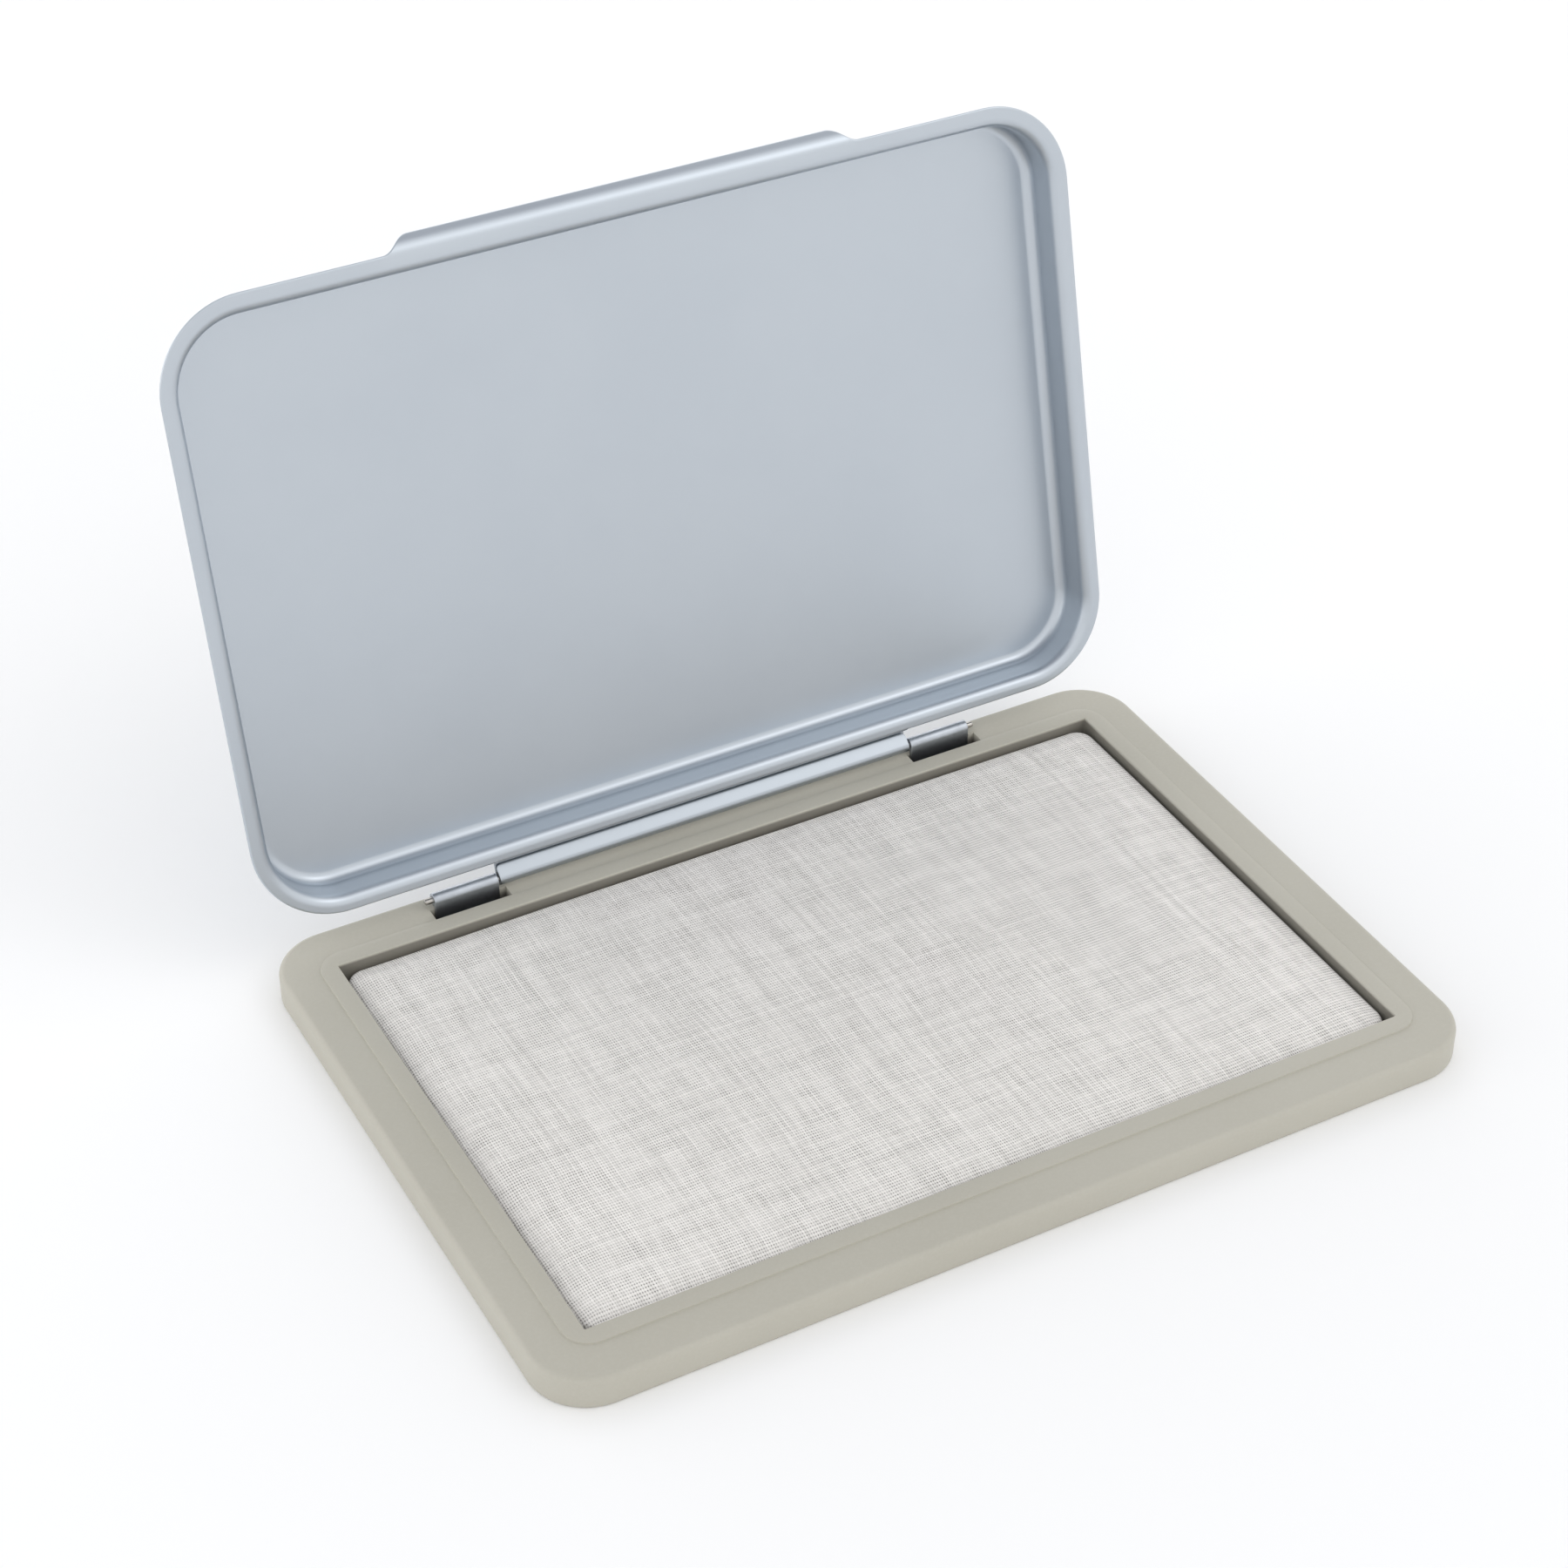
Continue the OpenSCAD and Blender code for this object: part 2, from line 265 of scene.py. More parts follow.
def tray_plastic():
    """Warm grey moulded polystyrene with a fine spark-eroded matt, slightly shinier where it is handled."""
    m, nt, p = material("tray_matt_plastic")
    t = Tree(nt)
    co = t.object_coords()
    cloud = t.noise(co, 30.0, 3.0, 0.5)
    speck = t.noise(co, 2400.0, 3.0, 0.6)
    grit = t.noise(co, 5200.0, 2.0, 0.6)
    a, b = rgb(0.452, 0.434, 0.370), rgb(0.482, 0.464, 0.399)
    col = t.mix(t.range(cloud, 0.3, 0.7, 0.0, 1.0, True), a, b)
    col = t.mix(t.range(speck, 0.42, 0.75, 0.0, 0.22), col, rgb(0.545, 0.53, 0.47))
    # painted shade: the walls of the pad well are darkened down in the recess
    sep = nt.nodes.new("ShaderNodeSeparateXYZ")
    t.put(sep.inputs[0], co)
    inx = t.range(t.math("ABSOLUTE", sep.outputs[0]), 0.05508, 0.05516, 1.0, 0.0)
    iny = t.range(t.math("ABSOLUTE", sep.outputs[1]), 0.03533, 0.03541, 1.0, 0.0)
    deep = t.range(sep.outputs[2], 0.00405, 0.00448, 1.0, 0.0, True)
    well = t.math("MULTIPLY", t.math("MULTIPLY", inx, iny), deep)
    col = t.mix(t.math("MULTIPLY", well, 0.72), col, rgb(0.105, 0.097, 0.083))
    # painted shade: the insides of the clips' slots are darkened too, deep down
    side = t.math("MULTIPLY", t.range(sep.outputs[1], 0.0374, 0.0376, 0.0, 1.0), t.range(sep.outputs[1], 0.0415, 0.0420, 1.0, 0.0))
    slot_depth_shade = t.math("MULTIPLY", t.range(sep.outputs[2], 0.0028, 0.0041, 1.0, 0.0, True), t.range(sep.outputs[2], 0.0002, 0.0008, 0.0, 1.0))
    slot_depth_shade = t.math("MULTIPLY", slot_depth_shade, t.range(t.math("ABSOLUTE", sep.outputs[0]), 0.0440, 0.0445, 1.0, 0.0))
    col = t.mix(t.math("MULTIPLY", t.math("MULTIPLY", side, slot_depth_shade), 0.80), col, rgb(0.075, 0.068, 0.058))
    t.put(p.inputs["Base Color"], col)
    t.put(p.inputs["Roughness"], t.math("ADD", t.range(cloud, 0.3, 0.7, 0.43, 0.51), t.math("MULTIPLY", t.math("SUBTRACT", speck, 0.5), 0.12)))
    p.inputs["IOR"].default_value = 1.5
    p.inputs["Subsurface Weight"].default_value = 0.04
    p.inputs["Subsurface Radius"].default_value = (0.0012, 0.0010, 0.0007)
    h = t.math("ADD", t.math("MULTIPLY", speck, 0.5), t.math("MULTIPLY", grit, 0.5))
    t.put(p.inputs["Normal"], t.bump(h, 0.16, 0.00003))
    return m


def greyboard():
    m, nt, p = material("pad_greyboard")
    t = Tree(nt)
    co = t.object_coords()
    fibre = t.noise(t.scaled(co, (900.0, 2600.0, 2600.0)), 1.0, 4.0, 0.65)
    cloud = t.noise(co, 160.0, 3.0, 0.6)
    col = t.mix(t.range(fibre, 0.3, 0.7, 0.0, 1.0), rgb(0.30, 0.255, 0.185), rgb(0.43, 0.375, 0.285))
    col = t.mix(t.range(cloud, 0.3, 0.7, 0.0, 0.5), col, rgb(0.36, 0.32, 0.25))
    t.put(p.inputs["Base Color"], col)
    p.inputs["Roughness"].default_value = 0.92
    t.put(p.inputs["Normal"], t.bump(fibre, 0.5, 0.00008))
    return m


def felt():
    m, nt, p = material("pad_felt_wool")
    t = Tree(nt)
    co = t.object_coords()
    a = t.noise(co, 1500.0, 5.0, 0.7)
    b = t.noise(co, 260.0, 3.0, 0.6)
    col = t.mix(t.range(a, 0.3, 0.7, 0.0, 1.0), rgb(0.60, 0.59, 0.54), rgb(0.80, 0.79, 0.74))
    col = t.mix(t.range(b, 0.3, 0.7, 0.0, 0.35), col, rgb(0.66, 0.64, 0.58))
    t.put(p.inputs["Base Color"], col)
    p.inputs["Roughness"].default_value = 1.0
    p.inputs["Sheen Weight"].default_value = 0.25
    t.put(p.inputs["Normal"], t.bump(a, 0.8, 0.00012))
    return m


def linen():
    """Plain-weave linen: yarns 0.308 mm apart across the pad and 0.45 mm apart along it, uneven yarns and slubs,
    and small holes where four yarns meet, with painted shade in the holes and on the yarns' sides."""
    m, nt, p = material("pad_linen_weave")
    t = Tree(nt)
    co = t.object_coords()
    # yarns wander a little
    wob = nt.nodes.new("ShaderNodeTexNoise")
    wob.inputs["Scale"].default_value = 320.0
    wob.inputs["Detail"].default_value = 2.0
    t.put(wob.inputs["Vector"], co)
    big = nt.nodes.new("ShaderNodeTexNoise")
    big.inputs["Scale"].default_value = 38.0
    big.inputs["Detail"].default_value = 1.0
    t.put(big.inputs["Vector"], co)

    def offset(tex, amount):
        s = nt.nodes.new("ShaderNodeVectorMath")
        s.operation = "SUBTRACT"
        t.put(s.inputs[0], tex.outputs["Color"])
        s.inputs[1].default_value = (0.5, 0.5, 0.5)
        return t.scaled(s.outputs[0], (amount, amount, 0.0))

    add = nt.nodes.new("ShaderNodeVectorMath")
    add.operation = "ADD"
    t.put(add.inputs[0], co)
    t.put(add.inputs[1], offset(wob, 0.00022))
    add2 = nt.nodes.new("ShaderNodeVectorMath")
    add2.operation = "ADD"
    t.put(add2.inputs[0], add.outputs[0])
    t.put(add2.inputs[1], offset(big, 0.0016))
    sep = nt.nodes.new("ShaderNodeSeparateXYZ")
    t.put(sep.inputs[0], add2.outputs[0])
    u = t.math("DIVIDE", sep.outputs[0], 0.000308)
    v = t.math("DIVIDE", sep.outputs[1], 0.000450)

    def yarn(c, other, seed, slow):
        """Which yarn, how thick and how bright it is here."""
        idx = t.math("FLOOR", c)
        own = t.white(t.math("ADD", idx, seed))
        # along the yarn, thickness changes slowly, with slubs now and then
        comb = nt.nodes.new("ShaderNodeCombineXYZ")
        t.put(comb.inputs[0], t.math("MULTIPLY", idx, 7.31))
        t.put(comb.inputs[1], t.math("MULTIPLY", other, slow))
        comb.inputs[2].default_value = seed
        thick = t.noise(comb.outputs[0], 1.0, 3.0, 0.6)
        slub = t.range(thick, 0.60, 0.76, 0.0, 1.0, True)
        return own, thick, slub

    ou, tu, su = yarn(u, v, 11.0, 0.045)
    ov, tv, sv = yarn(v, u, 57.0, 0.030)
    a = t.math("SINE", t.math("MULTIPLY", u, math.pi))
    b = t.math("SINE", t.math("MULTIPLY", v, math.pi))
    aa, bb = t.math("ABSOLUTE", a), t.math("ABSOLUTE", b)
    par = t.math("MULTIPLY", a, b)
    sgn = t.math("MINIMUM", t.math("MAXIMUM", t.math("MULTIPLY", par, 3.0), -1.0), 1.0)
    # rounded yarn sections, wider where the yarn is thick
    wu = t.math("ADD", t.range(tu, 0.3, 0.7, 0.30, 0.62), t.math("MULTIPLY", t.math("SUBTRACT", ou, 0.5), 0.20))
    wv = t.math("ADD", t.range(tv, 0.3, 0.7, 0.34, 0.66), t.math("MULTIPLY", t.math("SUBTRACT", ov, 0.5), 0.20))
    pu = t.math("POWER", aa, t.math("SUBTRACT", 1.25, wu))
    pv = t.math("POWER", bb, t.math("SUBTRACT", 1.25, wv))
    hu = t.math("MULTIPLY", pu, t.math("ADD", 0.66, t.math("MULTIPLY", t.math("MULTIPLY", sgn, bb), 0.34)))
    hv = t.math("MULTIPLY", pv, t.math("SUBTRACT", 0.66, t.math("MULTIPLY", t.math("MULTIPLY", sgn, aa), 0.34)))
    h = t.math("MAXIMUM", hu, hv)
    # fibres twist along each yarn
    fibre = t.noise(t.scaled(co, (9000.0, 9000.0, 9000.0)), 1.0, 2.0, 0.6)
    h_all = t.math("ADD", h, t.math("MULTIPLY", fibre, 0.18))
    h_all = t.math("ADD", h_all, t.math("MULTIPLY", t.math("ADD", su, sv), 0.22))
    # holes between the yarns, painted dark: painted shade in the gaps
    gap = t.math("MULTIPLY", t.math("SUBTRACT", 1.0, pu), t.math("SUBTRACT", 1.0, pv))
    density = t.noise(co, 330.0, 3.0, 0.6)
    cell = t.white(t.math("ADD", t.math("MULTIPLY", t.math("FLOOR", t.math("ADD", u, 0.5)), 13.7), t.math("FLOOR", t.math("ADD", v, 0.5))))
    density = t.math("ADD", density, t.math("MULTIPLY", t.math("SUBTRACT", cell, 0.5), 0.22))
    hole_shade = t.range(gap, 0.10, 0.46, 0.0, 1.0, True)
    hole_shade = t.math("MULTIPLY", hole_shade, t.range(density, 0.36, 0.70, 0.06, 0.95))
    # yarn colour: random per yarn and along it, plus painted shading, the yarns' crowns lighter and their sides darker
    yarn_tone_and_shade = t.math("ADD", t.math("MULTIPLY", t.math("SUBTRACT", ou, 0.5), 0.22), t.math("MULTIPLY", t.math("SUBTRACT", ov, 0.5), 0.16))
    yarn_tone_and_shade = t.math("ADD", yarn_tone_and_shade, t.math("MULTIPLY", t.math("SUBTRACT", tu, 0.5), 0.95))
    yarn_tone_and_shade = t.math("ADD", yarn_tone_and_shade, t.math("MULTIPLY", t.math("SUBTRACT", tv, 0.5), 0.55))
    yarn_tone_and_shade = t.math("ADD", yarn_tone_and_shade, t.math("MULTIPLY", t.math("SUBTRACT", h, 0.70), 1.35))
    yarn_tone_and_shade = t.math("ADD", yarn_tone_and_shade, t.math("MULTIPLY", t.math("SUBTRACT", fibre, 0.5), 0.5))
    tone = t.math("ADD", 0.60, yarn_tone_and_shade, clamp=True)
    cloth = t.mix(tone, rgb(0.632, 0.610, 0.582), rgb(0.950, 0.920, 0.886))
    col = t.mix(hole_shade, cloth, rgb(0.100, 0.090, 0.080))
    t.put(p.inputs["Base Color"], col)
    t.put(p.inputs["Roughness"], t.range(h, 0.3, 1.0, 0.95, 0.78))
    p.inputs["Specular IOR Level"].default_value = 0.25
    p.inputs["Sheen Weight"].default_value = 0.12
    p.inputs["Sheen Roughness"].default_value = 0.5
    t.put(p.inputs["Normal"], t.bump(h_all, 0.9, 0.00010))
    return m


def floor_white():
    m, nt, p = material("floor_white")
    t = Tree(nt)
    co = t.object_coords()
    n = t.noise(co, 3.0, 2.0, 0.5)
    t.put(p.inputs["Base Color"], t.mix(n, rgb(0.955, 0.955, 0.955), rgb(0.97, 0.97, 0.97)))
    p.inputs["Roughness"].default_value = 0.9
    p.inputs["Specular IOR Level"].default_value = 0.1
    return m


MAT = {
    "lid": lid_paint(),
    # clips: 0.45 is the strength of the painted shade down in their slots
    "clip": bare_steel("clip_rolled_steel", (0.52, 0.555, 0.60), 0.40, 0.45),
    "wire": bare_steel("hinge_drawn_wire", (0.50, 0.48, 0.45), 0.27),
    "tray": tray_plastic(),
    "board": greyboard(),
    "felt": felt(),
    "linen": linen(),
}


def paint(o, m):
    o.data.materials.clear()
    o.data.materials.append(m)


# ------------------------------------------------------------------ rounded-rectangle rings
class Rings:
    """Rings of one topology round a rounded rectangle, and the grid in the middle."""

    def __init__(self, xs, ys, nc):
        self.xs, self.ys, self.nc = xs, ys, nc      # xs, ys: -1..1 along the straight edges
        st = []                                     # (side or corner, parameter)
        for v in ys:
            st.append(((1, v, None), (1.0, 0.0)))
        for k in range(1, nc):
            a = math.pi / 2 * k / nc
            st.append(((1, 1, None), (math.cos(a), math.sin(a))))
        for v in reversed(xs):
            st.append(((v, 1, None), (0.0, 1.0)))
        for k in range(1, nc):
            a = math.pi / 2 * (1 + k / nc)
            st.append(((-1, 1, None), (math.cos(a), math.sin(a))))
        for v in reversed(ys):
            st.append(((-1, v, None), (-1.0, 0.0)))
        for k in range(1, nc):
            a = math.pi / 2 * (2 + k / nc)
            st.append(((-1, -1, None), (math.cos(a), math.sin(a))))
        for v in xs:
            st.append(((v, -1, None), (0.0, -1.0)))
        for k in range(1, nc):
            a = math.pi / 2 * (3 + k / nc)
            st.append(((1, -1, None), (math.cos(a), math.sin(a))))
        self.st = st

    def ring(self, w, d, r, cx=0.0, cy=0.0):
        """w and d are half sizes; r the corner radius. Gives (x, y) for each station."""
        a, b = w - r, d - r
        return [(cx + s[0][0] * a + s[1][0] * r, cy + s[0][1] * b + s[1][1] * r) for s in self.st]

    def back(self):
        """Station index of each x along the back edge."""
        i0 = len(self.ys) + self.nc - 1
        n = len(self.xs)
        return {round(v, 9): i0 + k for k, v in enumerate(reversed(self.xs))}

    def front(self):
        i0 = 2 * len(self.ys) + len(self.xs) + 3 * (self.nc - 1)
        return {round(v, 9): i0 + k for k, v in enumerate(self.xs)}


def band(faces, a, b, n, skip=()):
    """Quads between ring a and ring b, both lists of vertex indices."""
    for i in range(n):
        if i in skip:
            continue
        j = (i + 1) % n
        faces.append((a[i], a[j], b[j], b[i]))


def grid_fill(verts, faces, rings, w, d, z, cx=0.0, cy=0.0, flip=False, height=None):
    """The flat rectangle inside the innermost ring, on the same x and y stations."""
    idx = {}
    for j, v in enumerate(rings.ys):
        for i, u in enumerate(rings.xs):
            idx[i, j] = len(verts)
            x, y = cx + u * w, cy + v * d
            verts.append((x, y, z if height is None else height(x, y)))
    for j in range(len(rings.ys) - 1):
        for i in range(len(rings.xs) - 1):
            q = (idx[i, j], idx[i + 1, j], idx[i + 1, j + 1], idx[i, j + 1])
            faces.append(q[::-1] if flip else q)


def add_ring(verts, pts, z):
    out = []
    for k, (x, y) in enumerate(pts):
        out.append(len(verts))
        verts.append((x, y, z[k] if isinstance(z, list) else z))
    return out


def arc(cx, cy, r, a0, a1, n, ends=True):
    """Points on an arc, degrees."""
    out = []
    for k in range(n + 1):
        if not ends and k in (0, n):
            continue
        a = math.radians(a0 + (a1 - a0) * k / n)
        out.append((cx + r * math.cos(a), cy + r * math.sin(a)))
    return out


# ------------------------------------------------------------------ lid
LID_W, LID_D, LID_R = 123.4, 80.5, 11.5
LID_FRONT = -42.88
LID_Y = LID_FRONT + LID_D / 2
RIM_Z = LAND + 0.03
LID_H, FILLET, BEND = 5.7, 1.4, 1.3    # inside depth, its corner with the panel, and its bend out into the rim
A, B = LID_W / 2 - LID_R, LID_D / 2 - LID_R       # corner centres
WALL = LID_R - 2.45
PAN_Y = 0.28                     # the pan is pressed a little nearer to the hinge than the rim's outline
BARREL = 30.2
LIP_C, LIP_HALF, LIP_RUN = -0.45 + 0.5, 32.05, 3.9   # thumb lip: middle (from the lid's middle), half width, run-out
LIP_LEN, LIP_START, LIP_BEND, LIP_TURN = 2.05, 0.4, 2.0, math.radians(53)


def lid():
    xs = set()
    for k in range(-25, 26):
        xs.add(round(k * 2.0, 4))
    for s in (-1, 1):
        for d in (0.0, 0.08, 0.16, 0.25, 0.36, 0.5, 0.8, 1.2):
            xs.add(round(s * (BARREL - d), 4))
        for d in (0.1, 0.22, 0.36, 0.55, 0.8):
            xs.add(round(s * (BARREL + d), 4))
        for k in range(0, 17):
            xs.add(round(LIP_C + s * (LIP_HALF + 0.1 - k * (LIP_RUN + 0.2) / 16), 4))
    xs.add(A)
    xs.add(-A)
    xs = sorted(v for v in xs if abs(v) <= A)
    keep = [xs[0]]
    must = {round(s * BARREL, 4) for s in (-1, 1)}
    for v in xs[1:]:
        if v - keep[-1] < 0.045 and v not in must and v != xs[-1]:
            continue
        if v - keep[-1] < 0.045 and keep[-1] not in must and len(keep) > 1:
            keep.pop()
        keep.append(v)
    xs = keep
    ys = [-1 + 2 * k / 34 for k in range(35)]
    R = Rings([v / A for v in xs], ys, 22)
    n = len(R.st)
    V, F = [], []
    t2 = SHEET / 2

    # how much of the thumb lip there is at each station: its length beyond the rim's edge, and its bend
    front, back = R.front(), R.back()
    lip, turn = [0.0] * n, [0.0] * n
    for u, i in front.items():
        q = max(0.0, min(1.0, (LIP_HALF - abs(u * A - LIP_C)) / LIP_RUN))
        a = q * q * q * (q * (6 * q - 15) + 10)
        lip[i] = LIP_LEN * (0.35 * a + 0.65 * (q * q * (3 - 2 * q)))
        g = max(0.0, min(1.0, (LIP_HALF + 1.5 - abs(u * A - LIP_C)) / 3.0))
        turn[i] = g * g * (3 - 2 * g)

    def edge_point(s, g):
        """Mid-surface point and upward normal at a distance s beyond the plain rim's edge, bent g times the full turn."""
        s += LIP_START
        x0 = LID_R - LIP_START
        if s <= 0 or g <= 0:
            return (x0 + s, t2), (0.0, 1.0)
        rc = LIP_BEND / g
        bend = LIP_TURN * g
        if s < rc * bend:
            a = s / rc
            return (x0 + rc * math.sin(a), t2 + rc * (1 - math.cos(a))), (-math.sin(a), math.cos(a))
        e = s - rc * bend
        return (x0 + rc * math.sin(bend) + e * math.cos(bend), t2 + rc * (1 - math.cos(bend)) + e * math.sin(bend)), (-math.sin(bend), math.cos(bend))

    def rim_ring(where, side, cap=None):
        """A ring round the rim. where(station) is the distance beyond the plain edge; side -1 the face, 1 the upper side."""
        zs, pts = [], []
        for i, st in enumerate(R.st):
            (o, h), (no, nh) = edge_point(where(i), turn[i])
            if cap is None:
                o, h = o + side * t2 * no, h + side * t2 * nh
            else:
                a = math.radians(cap)          # -90 is the face side, 90 the upper side
                fo, fh = nh, -no               # outward along the sheet
                o, h = o + t2 * (math.cos(a) * fo + math.sin(a) * no), h + t2 * (math.cos(a) * fh + math.sin(a) * nh)
            q = max(0.0, o - (LID_R - 1.25))     # the rim already rises a little towards the lip
            h += turn[i] * (0.20 * q * q if q < 0.3 else 0.018 + 0.12 * (q - 0.3) + 0.015 * (q - 0.3) ** 2)
            b = (st[0][0] * A, LID_Y + st[0][1] * B)
            pts.append((b[0] + st[1][0] * o, b[1] + st[1][1] * o))
            zs.append(RIM_Z + h)
        return add_ring(V, pts, zs)

    def at(o):
        return lambda i: o - LID_R

    def along(frac):
        """frac 0..1 of the way from just inside the plain edge to the end of the sheet."""
        return lambda i: -0.2 + (lip[i] - t2 + 0.2) * frac

    def ring_at(o, h):
        return add_ring(V, R.ring(A + o, B + o, max(o, 0.0), 0.0, LID_Y + PAN_Y), RIM_Z + h)

    def height_in(x, y):
        return RIM_Z + LID_H + sag(x, y)

    def height_out(x, y):
        return RIM_Z + LID_H + SHEET + sag(x, y)

    def sag(x, y):
        """The panel is a pressing, and not perfectly flat."""
        fx = max(0.0, 1 - (x / (A + 7)) ** 2)
        fy = max(0.0, 1 - ((y - LID_Y - PAN_Y) / (B + 7)) ** 2)
        return 0.10 * fx * fy + 0.035 * fx * fy * noise.noise(Vector((x * 0.045, y * 0.06, 3.1)))

    def ring_panel(o, top):
        pts = R.ring(A + o, B + o, max(o, 0.0), 0.0, LID_Y + PAN_Y)
        hh = height_out if top else height_in
        return add_ring(V, pts, [hh(x, y) for x, y in pts])

    inner_o = WALL - FILLET
    # inside face, from the panel's rectangle outwards
    seq = []
    for o in (0.0, 1.5, 3.5, 5.2, inner_o - 0.6):
        seq.append(ring_panel(o, False))
    for (o, h) in arc(inner_o, LID_H - FILLET, FILLET, 90, 0, 14):
        seq.append(ring_at(o, h))
    for h in (3.6, 2.8, 2.0):
        seq.append(ring_at(WALL, h))
    for (o, h) in arc(WALL + BEND, BEND, BEND, 180, 270, 12):
        seq.append(ring_at(o, h))
    rim_o = (10.72, 10.82, 10.92, 11.04, 11.19)
    for o in rim_o[:-1]:
        seq.append(rim_ring(at(o), -1))
    kA = len(seq)
    seq.append(rim_ring(at(rim_o[-1]), -1))
    # the edge, with the thumb lip drawn out of the front
    for k in range(0, 17):
        seq.append(rim_ring(along(k / 16), -1))
    for c in (-60, -30, 0, 30, 60):
        seq.append(rim_ring(along(1.0), 0, cap=c))
    for k in range(16, -1, -1):
        seq.append(rim_ring(along(k / 16), 1))
    kB = len(seq)
    for o in reversed(rim_o):
        seq.append(rim_ring(at(o), 1))
    for (o, h) in arc(WALL + BEND, BEND, BEND - SHEET, 270, 180, 9):
        seq.append(ring_at(o, h))
    for h in (2.0, 2.8, 3.6):
        seq.append(ring_at(WALL + SHEET, h))
    for (o, h) in arc(inner_o, LID_H - FILLET, FILLET + SHEET, 0, 90, 14):
        seq.append(ring_at(o, h))
    for o in (inner_o - 0.6, 5.2, 3.5, 1.5, 0.0):
        seq.append(ring_panel(o, True))

    # stations where the rim runs on into the tongue
    tongue_x = [v for v in xs if abs(v) <= BARREL + 1e-6]
    st_of = {round(v, 4): back[round(v / A, 9)] for v in tongue_x}
    inside = set()
    for a_, b_ in zip(tongue_x[:-1], tongue_x[1:]):
        inside.add(min(st_of[round(a_, 4)], st_of[round(b_, 4)]))
    for k in range(len(seq) - 1):
        skip = inside if kA <= k < kB else ()
        band(F, seq[k], seq[k + 1], n, skip)
    grid_fill(V, F, R, A, B, 0, 0.0, LID_Y + PAN_Y, height=height_in)
    grid_fill(V, F, R, A, B, 0, 0.0, LID_Y + PAN_Y, height=height_out)

    # tongue: mid-surface path in (u forward from the hinge line, w up)
    bin_, rm = 0.45, 0.65
    step_u, sr = (HINGE_Y - (LID_FRONT + LID_D)) - 0.24, 0.15
    rim_w = RIM_Z - HINGE_Z
    path = []                                       # (u, w, normal u, normal w), normal on the upper or outer side

    def arc_path(cu, cw, r, a0, a1, k, out):
        for i in range(1, k + 1):
            a = math.radians(a0 + (a1 - a0) * i / k)
            path.append((cu + r * math.cos(a), cw + r * math.sin(a), out * math.cos(a), out * math.sin(a)))

    c1 = (step_u + sr + SHEET, rim_w + sr + SHEET)
    path.append((c1[0], rim_w + t2, 0.0, 1.0))
    arc_path(c1[0], c1[1], sr + t2, -90, -180, 6, -1)
    path.append((step_u + t2, (c1[1] + bin_ - sr) / 2, 1.0, 0.0))
    path.append((step_u + t2, bin_ - sr, 1.0, 0.0))
    arc_path(step_u - sr, bin_ - sr, sr + t2, 0, 90, 6, 1)
    for u in (1.7, 1.1, 0.55):
        path.append((u, bin_ + t2, 0.0, 1.0))
    path.append((0.0, bin_ + t2, 0.0, 1.0))
    seam_u, seam_w = 2.08, 0.41
    tip_d = math.hypot(seam_u, seam_w)
    tip_a = math.degrees(math.atan2(seam_u, seam_w) + math.acos((bin_ + SHEET) / tip_d))
    end_a = 90 + (360 - tip_a)                     # tip_a is measured from +w towards +u
    arc_path(0, 0, rm, 90, end_a, 30, 1)
    au = math.radians(end_a)
    nu, nw = math.cos(au), math.sin(au)             # outward
    du, dw = -nw, nu                                # along the leg
    s_end = (seam_w - (bin_ + SHEET) * nw) / dw
    for f in (0.3, 0.6, 0.8, 0.92, 1.0):
        path.append((rm * nu + du * (s_end - 0.38) * f, rm * nw + dw * (s_end - 0.38) * f, nu, nw))
    # the first normals point up out of the rim; on the step they point forward; on the barrel outward. One side throughout:
    rows_a, rows_b = [], []                        # a: face side of the rim, b: its upper side
    L = [0.0]
    for p0, p1 in zip(path[:-1], path[1:]):
        L.append(L[-1] + math.hypot(p1[0] - p0[0], p1[1] - p0[1]))
    total = L[-1]
    for j, (u, w, pu, pw) in enumerate(path):
        rest = total - L[j]
        cr = 0.5
        hw = BARREL
        if rest < cr:
            hw = BARREL - (cr - math.sqrt(max(0.0, cr * cr - (cr - rest) ** 2)))
        ra, rb = [], []
        for x in tongue_x:
            xx = x
            k0 = BARREL - 0.85
            if abs(x) > k0 and hw < BARREL:
                xx = math.copysign(k0 + (abs(x) - k0) * (hw - k0) / (BARREL - k0), x)
            if j == 0:
                i = st_of[round(x, 4)]
                ra.append(seq[kA][i])
                rb.append(seq[kB][i])
                continue
            miter = 0.0
            if j == len(path) - 1:
                miter = 0.10
            for side, row in ((-1, ra), (1, rb)):
                yy = HINGE_Y - (u + side * t2 * pu + (du * miter if (side == 1 and miter) else 0.0))
                zz = HINGE_Z + (w + side * t2 * pw + (dw * miter if (side == 1 and miter) else 0.0))
                row.append(len(V))
                V.append((xx, yy, zz))
        rows_a.append(ra)
        rows_b.append(rb)
    m = len(tongue_x)
    for j in range(len(path) - 1):
        for i in range(m - 1):
            F.append((rows_a[j][i], rows_a[j][i + 1], rows_a[j + 1][i + 1], rows_a[j + 1][i]))
            F.append((rows_b[j][i], rows_b[j][i + 1], rows_b[j + 1][i + 1], rows_b[j + 1][i]))
        for e in (0, m - 1):
            F.append((rows_a[j][e], rows_b[j][e], rows_b[j + 1][e], rows_a[j + 1][e]))
    for i in range(m - 1):
        F.append((rows_a[-1][i], rows_a[-1][i + 1], rows_b[-1][i + 1], rows_b[-1][i]))
    for x in (-BARREL, BARREL):
        i = st_of[round(x, 4)]
        F.append(tuple(seq[k][i] for k in range(kA, kB + 1)))
    V = [open_lid(x + SHIFT, y, z) for x, y, z in V]
    o = new_object("lid_shell", V, F, "lid")
    bevel(o, 0.05, 55, 2)
    apply_modifiers(o, 50)
    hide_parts("lid_pan")
    paint(o, MAT["lid"])
    return o


